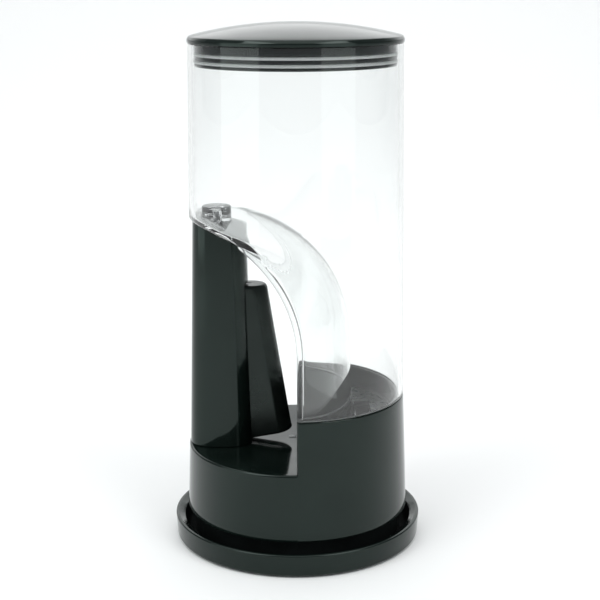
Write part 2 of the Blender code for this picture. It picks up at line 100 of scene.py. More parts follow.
# Lid and saucer
LID_RADIUS, LID_DOME_RADIUS, LID_WALL = 58.2, 233.0, 2.4
PLUG_RADIUS, PLUG_WALL, GROOVE_DEPTH, GASKET_RADIUS = 54.3, 2.6, 1.1, 54.6
SAUCER_RADIUS = 69.9
SAUCER_SHADE_RADIUS = 65.3    # inside this radius the dish gets the dulled matt black as painted shade for the gap under the base


# Shapes

def canister_radius(z):
    return 59.0 - 0.0132 * (z - 177.0)


def base_radius(z):
    return 61.0 - 0.035 * (z - 59.0)


def smoothstep(value):
    value = min(max(value, 0.0), 1.0)
    return value * value * (3.0 - 2.0 * value)


def spaced(start, end, count):
    """count + 1 values from start to end."""
    return [start + (end - start) * i / count for i in range(count + 1)]


def ellipse_x(rise, centre, half_width, height):
    """How far along X an arch reaches at a rise above its spring line."""
    share = min(max(rise, 0.0) / height, 1.0)
    return centre + half_width * math.sqrt(1.0 - share * share)


def across_share(y, grow):
    """1 in the middle of the recess and 0 at its sides."""
    return math.sqrt(max(0.0, 1.0 - (y / (RECESS_DEPTH + grow)) ** 2))


def notch_ray(angle, share, grow):
    """Distance from the arch's centre to the notch's surface, in a vertical plane along the object."""
    near, far = 0.0, 120.0
    for _ in range(26):
        middle = (near + far) / 2
        x, rise = ARCH_X + middle * math.cos(angle), middle * math.sin(angle)
        reach = ellipse_x(rise, ARCH_X, ARCH_HALF + grow, ARCH_RISE + grow)
        if rise <= RECESS_RISE + grow:
            deep = ellipse_x(rise, RECESS_X, RECESS_HALF + grow, RECESS_RISE + grow)
            reach += max(deep - reach, 0.0) * share
        if rise <= ARCH_RISE + grow and x <= reach:
            near = middle
        else:
            far = middle
    return near


def notch_distance(angle, share, grow):
    """notch_ray with the recess's roof blended into the arch."""
    blur = math.radians(5.0) * smoothstep((math.degrees(angle) - 38.0) / 16.0)
    if share <= 0.0 or blur <= 0.0:
        return notch_ray(angle, share, grow)
    return sum(notch_ray(angle + blur * k, share, grow) for k in (-1.0, -0.5, 0.0, 0.5, 1.0)) / 5.0


def notch_point(station, y, grow):
    """Point of the notch's surface. A station is ("z", height) up to the spring line, or ("angle", angle)
    above it."""
    kind, value = station
    share = across_share(y, grow)
    if kind == "z":
        deep = RECESS_X + RECESS_HALF + grow + RECESS_FLARE * (SPRING_Z - max(value, RECESS_FOOT_Z))
        return Vector((grow + (deep - grow) * share, y, value))
    distance = notch_distance(value, share, grow)
    return Vector((ARCH_X + distance * math.cos(value), y, SPRING_Z + distance * math.sin(value)))


def edge_y(station, radius_at, grow):
    """Where the notch's surface meets a round wall."""
    near, far = 0.0, 70.0
    for _ in range(24):
        middle = (near + far) / 2
        point = notch_point(station, middle, grow)
        if math.hypot(point.x, middle) < radius_at(point.z):
            near = middle
        else:
            far = middle
    return near


def last_angle(radius_at, grow):
    """Angle at which the arch leaves the canister's far side."""
    near, far = math.radians(70.0), math.radians(91.0)
    for _ in range(24):
        middle = (near + far) / 2
        point = notch_point(("angle", middle), 0.0, grow)
        if point.x > -radius_at(point.z):
            near = middle
        else:
            far = middle
    return near


def arch_stations(radius_at, grow, count):
    """Angles spaced evenly along the arch's edge on the wall."""
    end = last_angle(radius_at, grow)
    angles = [end * math.sin(math.radians(90.0 * i / 60)) for i in range(61)]
    points = []
    for angle in angles:
        y = edge_y(("angle", angle), radius_at, grow)
        points.append(notch_point(("angle", angle), y, grow))
    lengths = [0.0]
    for a, b in zip(points, points[1:]):
        lengths.append(lengths[-1] + (b - a).length)
    found, k = [], 0
    for target in spaced(0.0, lengths[-1], count)[:-1]:
        while lengths[k + 1] < target:
            k += 1
        share = (target - lengths[k]) / (lengths[k + 1] - lengths[k])
        found.append(angles[k] + (angles[k + 1] - angles[k]) * share)
    return [("angle", a) for a in [*found, end]]


def edge_frame(station, radius_at, grow, last):
    """Edge point on the +Y side, and the directions away from it in the wall and in the notch's surface."""
    y = 0.0 if last else edge_y(station, radius_at, grow)
    point = notch_point(station, y, grow)
    outward = Vector((point.x, y, 0.0)).normalized()
    if station[0] == "z":
        along, to_hand = Vector((0, 0, 1)), Vector((-1, 0, 0))
    else:
        step = 0.004
        before, after = ("angle", station[1] - step), ("angle", station[1] + step)
        tangent = notch_point(after, y, grow) - notch_point(before, y, grow)
        to_hand = Vector((-tangent.z, 0.0, tangent.x)).normalized()
        if to_hand.dot(Vector((ARCH_X, 0.0, SPRING_Z)) - Vector((point.x, 0.0, point.z))) < 0.0:
            to_hand.negate()
        if last:
            along = Vector((0, -1, 0))
        else:
            other = notch_point(before, edge_y(before, radius_at, grow), grow)
            along = (point - other).normalized()
    in_wall, in_notch = along.cross(outward), along.cross(to_hand)
    if in_wall.dot(to_hand) > 0.0:
        in_wall.negate()
    if in_notch.dot(outward) > 0.0:
        in_notch.negate()
    return point, in_wall.normalized(), in_notch.normalized()


def half_row(station, start_y, grow, corner):
    """Points of the notch's surface from start_y to the middle: flange, rounded corner and recess."""
    depth = RECESS_DEPTH + grow
    flange = notch_point(station, depth + 1.0, grow)
    bulge = (notch_point(station, 0.0, grow) - flange)
    bulge.y = 0.0
    share = min(corner / max(bulge.length, 0.01), 0.25)
    radius = min(share * bulge.length, max(start_y - depth, 0.0) * 0.9)
    points = []
    corner_start = min(start_y, depth + radius)
    points += [notch_point(station, y, grow) for y in spaced(start_y, corner_start, 3)]
    first = math.asin(min(start_y / depth, math.sqrt(1.0 - share * share), 1.0))
    end_point = notch_point(station, depth * math.sin(first), grow)
    direction = bulge.normalized() if bulge.length > 0.01 else Vector((1, 0, 0))
    for i in range(1, 5):
        turn = math.radians(22.5 * i)
        if start_y > depth + 0.05 and radius > 0.01:
            base = Vector((flange.x, depth + radius - radius * math.sin(turn), flange.z))
            rounded = base + direction * (radius - radius * math.cos(turn))
            points.append(rounded.lerp(end_point, (i / 4) ** 3))
        else:
            points.append(points[-1].lerp(end_point, i / 4))
    points += [notch_point(station, depth * math.sin(first * (1.0 - i / 22)), grow) for i in range(1, 23)]
    return points


def mirrored(point):
    return Vector((point[0], -point[1], point[2]))


# Mesh work

def add_grid(shape, rows, closed=False):
    """Quads between rows of points that all have the same count."""
    made = [[shape.verts.new(p) for p in row] for row in rows]
    for below, above in zip(made, made[1:]):
        count = len(below)
        for i in range(count if closed else count - 1):
            j = (i + 1) % count
            shape.faces.new((below[i], below[j], above[j], above[i]))
    return made


def add_filled(shape, outline, holes=()):
    """A flat face inside an outline, with holes."""
    edges = []
    for loop in (outline, *holes):
        verts = [shape.verts.new(p) for p in loop]
        edges += [shape.edges.new((verts[i], verts[(i + 1) % len(verts)])) for i in range(len(verts))]
    bmesh.ops.triangle_fill(shape, use_beauty=True, edges=edges)


def piece_from(shape, name, look, body, nodes, sharp=32, merge=0.004):
    """A finished piece from a bmesh in millimetres. It rides on a body and stands for CAD nodes."""
    bmesh.ops.remove_doubles(shape, verts=shape.verts, dist=merge)
    bmesh.ops.recalc_face_normals(shape, faces=shape.faces)
    shape.transform(Matrix.Scale(MM, 4))
    mesh = bpy.data.meshes.new(name)
    shape.to_mesh(mesh)
    shape.free()
    mesh.shade_smooth()
    mesh.set_sharp_from_angle(angle=math.radians(sharp))
    piece = bpy.data.objects.new(name, mesh)
    bpy.context.scene.collection.objects.link(piece)
    if look is not None:
        mesh.materials.append(look)
    if body is not None:
        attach(piece, body)
        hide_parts(*nodes)
    return piece


def rounded_path(corners, steps=5, closed=False):
    """A path through (x, z, rounding) corners, with each corner rounded."""
    path, count = [], len(corners)
    for i, (x, z, rounding) in enumerate(corners):
        here = Vector((x, z))
        if rounding <= 0.0 or (not closed and i in (0, count - 1)):
            path.append((x, z))
            continue
        before, after = Vector(corners[i - 1][:2]), Vector(corners[(i + 1) % count][:2])
        to_before, to_after = (before - here).normalized(), (after - here).normalized()
        half = to_before.angle(to_after) / 2
        reach = rounding / math.tan(half)
        centre = here + (to_before + to_after).normalized() * (rounding / math.sin(half))
        first, last = here + to_before * reach - centre, here + to_after * reach - centre
        turn = first.angle_signed(last)
        for k in range(steps + 1):
            spoke = first.copy()
            spoke.rotate(Matrix.Rotation(-turn * k / steps, 2))
            path.append(tuple(centre + spoke))
    return path


def add_turned(shape, path, centre=(0.0, 0.0), sides=TURNS, closed=False):
    """Turns a path of (radius, height) about a vertical axis."""
    rows = []
    for radius, height in path + (path[:1] if closed else []):
        rows.append([(centre[0] + radius * math.cos(2 * math.pi * i / sides),
                      centre[1] + radius * math.sin(2 * math.pi * i / sides), height) for i in range(sides)])
    add_grid(shape, rows, closed=True)


def turned_piece(name, path, look, body, node, closed=False, sharp=32):
    shape = bmesh.new()
    add_turned(shape, path, closed=closed)
    return piece_from(shape, name, look, body, [node], sharp)


# Materials

def new_look(name, colour, roughness, metallic=0.0):
    look = bpy.data.materials.new(name)
    look.use_nodes = True
    shader = look.node_tree.nodes["Principled BSDF"]
    shader.inputs["Base Color"].default_value = (*colour, 1.0)
    shader.inputs["Roughness"].default_value = roughness
    shader.inputs["Metallic"].default_value = metallic
    return look, shader


def noise(look, scale, detail=3.0, roughness=0.55, stretch=(1.0, 1.0, 1.0)):
    """A noise in the object's own coordinates, in metres."""
    nodes, links = look.node_tree.nodes, look.node_tree.links
    place = nodes.new("ShaderNodeTexCoord")
    mapping = nodes.new("ShaderNodeMapping")
    mapping.inputs["Scale"].default_value = stretch
    texture = nodes.new("ShaderNodeTexNoise")
    texture.inputs["Scale"].default_value = scale
    texture.inputs["Detail"].default_value = detail
    texture.inputs["Roughness"].default_value = roughness
    links.new(place.outputs["Object"], mapping.inputs["Vector"])
    links.new(mapping.outputs["Vector"], texture.inputs["Vector"])
    return texture.outputs["Fac"]


def ramp(look, value, low, high, start=0.35, end=0.65):
    """Maps a value onto a range of numbers."""
    node = look.node_tree.nodes.new("ShaderNodeMapRange")
    node.inputs["From Min"].default_value = start
    node.inputs["From Max"].default_value = end
    node.inputs["To Min"].default_value = low
    node.inputs["To Max"].default_value = high
    look.node_tree.links.new(value, node.inputs["Value"])
    return node.outputs["Result"]


def blend_colours(look, value, first, second):
    node = look.node_tree.nodes.new("ShaderNodeMix")
    node.data_type = "RGBA"
    node.inputs["A"].default_value = (*first, 1.0)
    node.inputs["B"].default_value = (*second, 1.0)
    look.node_tree.links.new(value, node.inputs["Factor"])
    return node.outputs["Result"]


def bump(look, shader, value, distance, strength=1.0, after=None):
    node = look.node_tree.nodes.new("ShaderNodeBump")
    node.inputs["Distance"].default_value = distance
    node.inputs["Strength"].default_value = strength
    look.node_tree.links.new(value, node.inputs["Height"])
    if after is not None:
        look.node_tree.links.new(after, node.inputs["Normal"])
    look.node_tree.links.new(node.outputs["Normal"], shader.inputs["Normal"])
    return node.outputs["Normal"]


def gloss_look(name, dark=(0.0030, 0.0060, 0.0050), pale=(0.0055, 0.0095, 0.0080), rough=(0.06, 0.12)):
    """Black gloss moulding: slight waves in the surface, cloudy polish, and dust-fine grain."""
    look, shader = new_look(name, dark, rough[0])
    links = look.node_tree.links
    cloud = noise(look, 38.0, 4.0)
    links.new(blend_colours(look, ramp(look, cloud, 0.0, 1.0), dark, pale), shader.inputs["Base Color"])
    links.new(ramp(look, noise(look, 85.0, 5.0, 0.6), *rough), shader.inputs["Roughness"])
    shader.inputs["IOR"].default_value = 1.39
    shader.inputs["Specular Tint"].default_value = (0.84, 1.0, 0.94, 1.0)
    waves = bump(look, shader, noise(look, 26.0, 1.0), 0.00025, 0.30)
    bump(look, shader, noise(look, 2600.0, 2.0), 0.00001, 0.35, waves)
    return look


def tray_look(name):
    """Black moulding whose fine grain turns pale at a low angle."""
    look = satin_look(name, (0.080, 0.100, 0.096), (0.24, 0.34))
    look.node_tree.nodes["Principled BSDF"].inputs["IOR"].default_value = 1.8
    return look


def satin_look(name, colour=(0.012, 0.0125, 0.0125), rough=(0.34, 0.48)):
    """Black satin moulding with a fine spark-eroded grain."""
    look, shader = new_look(name, colour, rough[0])
    pale = tuple(c * 1.7 for c in colour)
    links = look.node_tree.links
    links.new(blend_colours(look, ramp(look, noise(look, 60.0, 4.0), 0.0, 1.0), colour, pale),
              shader.inputs["Base Color"])
    links.new(ramp(look, noise(look, 240.0, 4.0), *rough), shader.inputs["Roughness"])
    bump(look, shader, noise(look, 3800.0, 3.0), 0.00004, 0.5)
    return look


def clear_look(name):
    """Clear moulded styrene: almost colourless, with faint flow waves."""
    look, shader = new_look(name, (0.985, 0.995, 0.992), 0.0)
    shader.inputs["Transmission Weight"].default_value = 1.0
    shader.inputs["IOR"].default_value = 1.49
    links = look.node_tree.links
    links.new(ramp(look, noise(look, 45.0, 3.0), 0.0, 0.018), shader.inputs["Roughness"])
    bump(look, shader, noise(look, 22.0, 1.0, stretch=(1.0, 1.0, 0.3)), 0.0001, 0.12)
    return look


def gasket_look(name):
    """Milky soft seal."""
    look, shader = new_look(name, (0.90, 0.93, 0.92), 0.4)
    links = look.node_tree.links
    links.new(blend_colours(look, ramp(look, noise(look, 150.0, 3.0), 0.0, 1.0), (0.93, 0.96, 0.95),
                            (0.97, 0.99, 0.98)), shader.inputs["Base Color"])
    links.new(ramp(look, noise(look, 400.0, 2.0), 0.3, 0.5), shader.inputs["Roughness"])
    bump(look, shader, noise(look, 900.0, 2.0), 0.00003, 0.3)
    return look


def steel_look(name, stretch=(1.0, 1.0, 12.0)):
    """Zinc-plated steel with turning marks."""
    look, shader = new_look(name, (0.55, 0.56, 0.57), 0.28, 1.0)
    links = look.node_tree.links
    links.new(blend_colours(look, ramp(look, noise(look, 300.0, 4.0), 0.0, 1.0), (0.42, 0.43, 0.45),
                            (0.66, 0.66, 0.66)), shader.inputs["Base Color"])
    links.new(ramp(look, noise(look, 500.0, 4.0), 0.2, 0.42), shader.inputs["Roughness"])
    bump(look, shader, noise(look, 700.0, 2.0, stretch=stretch), 0.00003, 0.4)
    return look


def rubber_look(name):
    look, shader = new_look(name, (0.02, 0.02, 0.02), 0.8)
    links = look.node_tree.links
    links.new(blend_colours(look, ramp(look, noise(look, 200.0, 4.0), 0.0, 1.0), (0.016, 0.016, 0.016),
                            (0.035, 0.034, 0.032)), shader.inputs["Base Color"])
    links.new(ramp(look, noise(look, 350.0, 3.0), 0.7, 0.9), shader.inputs["Roughness"])
    bump(look, shader, noise(look, 2500.0, 3.0), 0.00008, 0.6)
    return look


GLOSS = gloss_look("gloss_black")
TRIGGER_GLOSS = gloss_look("trigger_black", (0.0050, 0.0068, 0.0060), (0.0080, 0.0100, 0.0090), (0.16, 0.26))
SATIN = satin_look("satin_black")
# painted shade: a matt black whose reflections are dulled nearly away (IOR 1.12), for parts that sit in the
# shaded gap under the base
SHADE_MATT = satin_look("matt_black_painted_shade", (0.004, 0.005, 0.005), (0.75, 0.90))
SHADE_MATT.node_tree.nodes["Principled BSDF"].inputs["IOR"].default_value = 1.12
# painted shade: opaque grey-green satin on the clear canister's foot face, dimming the line where the wall
# stands on the base
FOOT_SHADE_LOOK = satin_look("canister_foot_shade", (0.060, 0.075, 0.070), (0.40, 0.55))
TRAY = tray_look("tray_black")
CLEAR = clear_look("clear_styrene")
GASKET = gasket_look("milky_seal")
STEEL = steel_look("plated_steel")
RUBBER = rubber_look("pad_rubber")
# pale grey for the small raised disc on the low floor
BUTTON = satin_look("pale_disc", (0.20, 0.22, 0.22), (0.20, 0.30))


# Canister

def on_wall(radius_at, angle, z):
    """Point of a round wall at an angle and a height."""
    return Vector((radius_at(z) * math.cos(angle), radius_at(z) * math.sin(angle), z))


def skin_rows(radius_at, grow, rounding, corner):
    """The grids of one side of the canister's wall, and its bottom and top loops."""
    low, high = CANISTER_Z
    arch_start = 12
    stations = [("z", z) for z in spaced(low, SPRING_Z, arch_start)[:-1]] + arch_stations(radius_at, grow, 54)
    grids, fillets, rows = [], [], []
    for k, station in enumerate(stations):
        last = k == len(stations) - 1
        point, in_wall, in_notch = edge_frame(station, radius_at, grow, last)
        start = point + in_notch * rounding
        row_station = station
        if station[0] == "angle":
            row_station = ("angle", math.atan2(start.z - SPRING_Z, start.x - ARCH_X))
        row = half_row(row_station, max(start.y, 0.0), grow, corner)
        fillet = []
        for turn in spaced(0.0, math.pi / 2, 5):
            reach = in_wall * (1 - math.sin(turn)) + in_notch * (1 - math.cos(turn))
            fillet.append(point + reach * rounding)
        fillet[0] = on_wall(radius_at, math.atan2(fillet[0].y, fillet[0].x), fillet[0].z)
        fillet[-1] = row[0]
        fillets.append(fillet)
        rows.append([*row, *[mirrored(p) for p in reversed(row[:-1])]])
    grids += [fillets, [[mirrored(p) for p in f] for f in fillets], rows]

    steps = 26
    columns = []
    for fillet in fillets[arch_start:]:
        start = fillet[0]
        angle = math.atan2(start.y, start.x)
        columns.append([on_wall(radius_at, angle, z) for z in spaced(start.z, high, steps)])
    grids += [columns, [[mirrored(p) for p in c] for c in columns]]

    side = math.atan2(fillets[0][0].y, fillets[0][0].x)
    side_z = [f[0].z for f in fillets[:arch_start]] + spaced(SPRING_Z, high, steps)
    right = []
    for angle in spaced(side, -side, 110):
        right.append([on_wall(radius_at, angle, z) for z in side_z])
    for k, fillet in enumerate(fillets[:arch_start + 1]):
        right[0][k], right[-1][k] = fillet[0].copy(), mirrored(fillet[0])
    grids.append(right)

    foot = [c[0] for c in right] + [mirrored(p) for p in fillets[0][1:]] + list(reversed(rows[0]))[1:-1]
    foot += list(reversed(fillets[0]))[:-1]
    top = [c[-1] for c in right] + [mirrored(c[-1]) for c in columns[1:]]
    top += [c[-1] for c in reversed(columns[1:-1])]
    return grids, foot, top


def inner_radius(z):
    return canister_radius(z) - CANISTER_WALL


def make_canister():
    """Two skins joined at the foot and at the top, with a boss over the post's screw."""
    shape = bmesh.new()
    outer, outer_foot, outer_top = skin_rows(canister_radius, 0.0, EDGE_ROUND, EDGE_ROUND)
    inner, inner_foot, inner_top = skin_rows(inner_radius, RECESS_WALL, 0.5, 0.8)
    for grid in outer + inner:
        add_grid(shape, grid)
    add_grid(shape, [outer_foot, inner_foot], closed=True)
    add_grid(shape, [outer_top, inner_top], closed=True)
    canister = piece_from(shape, "clear_canister", CLEAR, "dispenser", ["canister"])
    # painted shade: the downward faces at the canister's foot get the opaque grey-green satin
    canister.data.materials.append(FOOT_SHADE_LOOK)
    for face in canister.data.polygons:
        if face.normal.z < -0.9 and face.center.z < (CANISTER_Z[0] + 0.1) * MM:
            face.material_index = 1

    boss = bmesh.new()
    boss_path = [(0.0, BOSS_TOP_Z, 0), (BOSS_RADIUS, BOSS_TOP_Z, 0.8), (BOSS_RADIUS + 0.1, BOSS_FOOT_Z, 0),
                 (0.0, BOSS_FOOT_Z, 0)]
    add_turned(boss, rounded_path(boss_path), (BOSS_X, 0.0), 64)
    bore = bmesh.new()
    bore_path = [(0.0, BORE_TOP_Z, 0), (BORE_RADIUS, BORE_TOP_Z, 0), (BORE_RADIUS, 170.0, 0), (0.0, 170.0, 0)]
    add_turned(bore, rounded_path(bore_path), (BOSS_X, 0.0), 32)
    for shape, name, operation in ((boss, "boss_shape", "UNION"), (bore, "bore_shape", "DIFFERENCE")):
        tool = piece_from(shape, name, None, None, None)
        step = canister.modifiers.new(name, "BOOLEAN")
        step.operation, step.solver, step.object = operation, "EXACT", tool
        apply_modifier(canister, step)
        bpy.data.objects.remove(tool)
    return canister


def apply_modifier(piece, step):
    """Bakes the piece's modifiers into its mesh."""
    evaluated = piece.evaluated_get(bpy.context.evaluated_depsgraph_get())
    baked = bpy.data.meshes.new_from_object(evaluated)
    piece.modifiers.remove(step)
    piece.data = baked


# Base

def crescent(z, radius, grow, corner, inner_corner):
    """Plan outline of the base's raised part: round outside, with the recess's bulge on its inner side."""
    deep = RECESS_X + RECESS_HALF + grow + RECESS_FLARE * (SPRING_Z - max(z, RECESS_FOOT_Z))
    depth, edge = RECESS_DEPTH + grow, grow
    corner_x = edge + corner
    corner_y = math.sqrt((radius - corner) ** 2 - corner_x ** 2)
    tangent = math.atan2(corner_y, corner_x)
    half = [(radius * math.cos(a), radius * math.sin(a)) for a in spaced(0.0, tangent, 60)]
    half += [(corner_x + corner * math.cos(a), corner_y + corner * math.sin(a))
             for a in spaced(tangent, math.pi, 7)[1:]]
    half += [(edge, y) for y in spaced(corner_y, depth + inner_corner, 3)[1:]]
    bulge = deep - edge
    first = math.acos(inner_corner / bulge)
    for a in spaced(0.0, math.pi / 2, 5)[1:-1]:
        half.append((edge + inner_corner * (1 - math.cos(a)), depth + inner_corner * (1 - math.sin(a))))
    half += [(edge + bulge * math.cos(a), depth * math.sin(a)) for a in spaced(first, 0.0, 30)]
    loop = half + [(x, -y) for x, y in reversed(half[1:-1])]
    return [Vector((x, y, z)) for x, y in loop]


def inset(loop, distance, z=None):
    """The loop moved inwards, in plan. The loop runs anticlockwise."""
    moved = []
    for i, point in enumerate(loop):
        along = (loop[(i + 1) % len(loop)] - loop[i - 1])
        inward = Vector((-along.y, along.x, 0.0)).normalized()
        spot = point + inward * distance
        spot.z = point.z if z is None else z
        moved.append(spot)
    return moved


def quarter(steps):
    """Steps of a quarter round: how far in, and how far up or down, as shares of its radius."""
    return [(1 - math.cos(a), 1 - math.sin(a)) for a in spaced(0.0, math.pi / 2, steps)]


def rectangle(x_range, half, z):
    return [(x_range[0], -half, z), (x_range[1], -half, z), (x_range[1], half, z), (x_range[0], half, z)]


def raised_rows(under_floor):
    """Outline of the raised part from its foot over the rim and down to the tray's floor."""
    low, high = BASE_Z
    round_top, round_low, tray_round = 0.9, 1.0, 1.6
    rows = []
    for aside, rise in reversed(quarter(4)):
        z = low + round_low * rise
        rows.append(inset(crescent(z, base_radius(z), 0.0, SEAM_ROUND, EDGE_ROUND), round_low * aside))
    for z in spaced(low + round_low, under_floor, 7)[1:] + [FLOOR_Z - 0.15]:
        rows.append(crescent(z, base_radius(z), 0.0, SEAM_ROUND, EDGE_ROUND))
    for z in spaced(FLOOR_Z + 0.05, high - round_top, 7):
        rows.append(crescent(z, base_radius(z), 0.0, EDGE_ROUND, EDGE_ROUND))
    for aside, drop in quarter(5)[1:]:
        z = high - round_top * drop
        rows.append(inset(crescent(z, base_radius(z), 0.0, EDGE_ROUND, EDGE_ROUND), round_top * aside))
    tray_grow = RECESS_WALL + 0.2
    rows.append(tray_loop(high, TRAY_RADIUS + 0.3, tray_grow))
    for z in spaced(high - 0.4, TRAY_FLOOR_Z + tray_round, 5):
        rows.append(tray_loop(z, TRAY_RADIUS - 0.4 * (high - z) / (high - TRAY_FLOOR_Z), tray_grow))
    bend = [inset(rows[-1], tray_round * aside, TRAY_FLOOR_Z + tray_round * rise)
            for aside, rise in quarter(5)[1:]]
    return rows, [rows[-1], *bend]


def make_raised_part():
    """Outer wall, recess wall and tray. Under the low floor the recess wall stops, for the slide to pass."""
    under_floor = FLOOR_Z - 2.4
    shape = bmesh.new()
    rows, floor_rows = raised_rows(under_floor)
    add_grid(shape, rows, closed=True)
    hidden = [f for f in shape.faces if max(v.co.z for v in f.verts) < under_floor + 0.1
              and f.calc_center_median().to_2d().length < base_radius(BASE_Z[0]) - 4.0]
    bmesh.ops.delete(shape, geom=hidden, context="FACES")
    add_grid(shape, floor_rows, closed=True)
    outlet = rectangle(OUTLET_X, OUTLET_HALF, TRAY_FLOOR_Z)
    add_grid(shape, [outlet, rectangle(OUTLET_X, OUTLET_HALF, TRAY_FLOOR_Z - 6.0)], closed=True)
    piece_from(shape, "base_raised", GLOSS, "dispenser", ["base_shell"])
    shape = bmesh.new()
    add_filled(shape, floor_rows[-1], [outlet])
    piece_from(shape, "tray_floor", TRAY, "dispenser", [])


def make_low_part():
    """Low floor and the wall below it, which is tucked in where the raised part covers it."""
    low, tuck = BASE_Z[0], 0.4
    shape = bmesh.new()
    rim = base_radius(FLOOR_Z - LOW_RIM_ROUND)
    path = [(base_radius(low) - 1.0, low), (base_radius(low) - 0.3, low + 0.3),
            (base_radius(low + 1.0), low + 1.0)]
    path += [(base_radius(z), z) for z in spaced(low + 1.0, FLOOR_Z - LOW_RIM_ROUND, 12)[1:]]
    path += [(rim - LOW_RIM_ROUND * aside, FLOOR_Z - LOW_RIM_ROUND * drop) for aside, drop in quarter(7)[1:]]
    path.append((rim - LOW_RIM_ROUND - 3.0, FLOOR_Z))
    covered = math.radians(89.9)
    angles = [2 * math.pi * i / (TURNS * 2) for i in range(TURNS * 2)]
    angles = [a - 2 * math.pi if a > math.pi else a for a in angles]
    rows = []
    for radius, z in path:
        tucked = [radius - (tuck if abs(a) < covered else 0.0) for a in angles]
        rows.append([(r * math.cos(a), r * math.sin(a), z) for r, a in zip(tucked, angles)])
    add_grid(shape, rows, closed=True)
    slot_x, slot_half = (-49.7, -31.5), 3.0
    slot = rectangle(slot_x, slot_half, FLOOR_Z)
    add_filled(shape, rows[-1], [slot, rectangle((31.0, 44.0), 16.0, FLOOR_Z)])
    add_grid(shape, [slot, rectangle(slot_x, slot_half, FLOOR_Z - 3.0)], closed=True)
    piece_from(shape, "base_low", GLOSS, "dispenser", [])

    shape = bmesh.new()
    # a small raised disc on the low floor, coloured pale grey
    button = rounded_path([(0.0, FLOOR_Z + 0.35, 0), (2.3, FLOOR_Z + 0.3, 0.25), (2.4, FLOOR_Z - 0.4, 0),
                           (0.0, FLOOR_Z - 0.4, 0)], 4)
    add_turned(shape, button, BUTTON_PLACE, 48)
    piece_from(shape, "pale_floor_disc", BUTTON, "dispenser", [])


def tray_loop(z, radius, grow):
    """Plan outline of the tray's inside."""
    return crescent(z, radius, grow, 0.7, 0.5)


# Grip post

def ceiling_z(x, y, grow):
    """Height of the notch's ceiling over a point."""
    share = across_share(y, grow)
    near, far = math.radians(5.0), math.radians(100.0)
    for _ in range(22):
        middle = (near + far) / 2
        if ARCH_X + notch_distance(middle, share, grow) * math.cos(middle) > x:
            near = middle
        else:
            far = middle
    return SPRING_Z + notch_distance(near, share, grow) * math.sin(near)


def post_point(angle, z, inner):
    """Point of the post's wall: its outline is between a circle and a square with rounded corners."""
    half = POST_HALF - POST_DRAFT * (z - POST_MID_Z)
    x, y = (math.copysign(abs(v) ** (2.0 / POST_SQUARENESS), v) for v in (math.cos(angle), math.sin(angle)))
    return Vector((POST_X + (half - inner) * x, (half * POST_ASPECT - inner) * y, z))


def make_post():
    """Grip post as columns of its outer and inner skin: behind the slot, and over it."""
    foot = heights("grip_post")[0]
    top_grow, gap = -0.45, 0.15

    def slot_angle(z, inner):
        half = POST_HALF - POST_DRAFT * (z - POST_MID_Z)
        return math.asin((SLOT_HALF / (half * POST_ASPECT - inner)) ** (POST_SQUARENESS / 2.0))

    def column(share, inner, arc):
        """One column of the wall: around the back for arc "back", over the slot for arc "front"."""
        start = foot if arc == "back" else SLOT_TOP_Z
        middle = slot_angle(SLOT_TOP_Z, inner)
        if arc == "back":
            top_angle = middle + (2 * math.pi - 2 * middle) * share
        else:
            top_angle = middle - 2 * middle * share
        spot = post_point(top_angle, 178.0, inner)
        top = ceiling_z(spot.x, spot.y, top_grow)
        points = []
        if arc == "back":
            for z in spaced(start, SLOT_TOP_Z, 16)[:-1]:
                edge = slot_angle(z, inner)
                points.append(post_point(edge + (2 * math.pi - 2 * edge) * share, z, inner))
        points += [post_point(top_angle, z, inner) for z in spaced(SLOT_TOP_Z, top - gap, 8)]
        return points

    shape = bmesh.new()
    backs = {inner: [column(i / 120, inner, "back") for i in range(121)] for inner in (0.0, POST_WALL)}
    fronts = {inner: [column(i / 24, inner, "front") for i in range(25)] for inner in (0.0, POST_WALL)}
    for inner in (0.0, POST_WALL):
        add_grid(shape, backs[inner])
        add_grid(shape, fronts[inner])
    outer, inside = backs[0.0], backs[POST_WALL]
    steps = 16
    add_grid(shape, [[c[0] for c in outer], [c[0] for c in inside]])
    for k in (0, -1):
        add_grid(shape, [outer[k][:steps + 1], inside[k][:steps + 1]])
    add_grid(shape, [[c[0] for c in fronts[0.0]], [c[0] for c in fronts[POST_WALL]]])
    for group in (backs, fronts):
        add_grid(shape, [[c[-1] for c in group[0.0]], [c[-1] for c in group[POST_WALL]]])
    post = piece_from(shape, "grip_handle", GLOSS, "dispenser", ["grip_post"])
    edges = post.modifiers.new("edges", "BEVEL")
    edges.width, edges.segments, edges.limit_method, edges.angle_limit = 0.0006, 3, "ANGLE", math.radians(40)
    edges.harden_normals = True
    return post


# Trigger

def trigger_outline(share, inset_by, rear):
    """Plan outline at a share of the height: straight sides and a round nose."""
    half = TRIGGER_HALF - inset_by
    middle = NOSE_Z + (TRIGGER_TOP_Z - NOSE_Z) * share
    tip = NOSE_X - NOSE_LEAN * (middle - NOSE_Z) - inset_by
    ring = [(x, -half) for x in spaced(rear, tip - half, 12)[:-1]]
    ring += [(tip - half + half * math.cos(a), half * math.sin(a))
             for a in spaced(-math.pi / 2, math.pi / 2, 18)]
    ring += [(x, half) for x in spaced(tip - half, rear, 12)[1:]]
    points = []
    for x, y in ring:
        heel = max(HEEL_Z, NOSE_Z - 0.17 * (NOSE_X - x))
        points.append((x, y, heel, TRIGGER_TOP_Z))
    return points


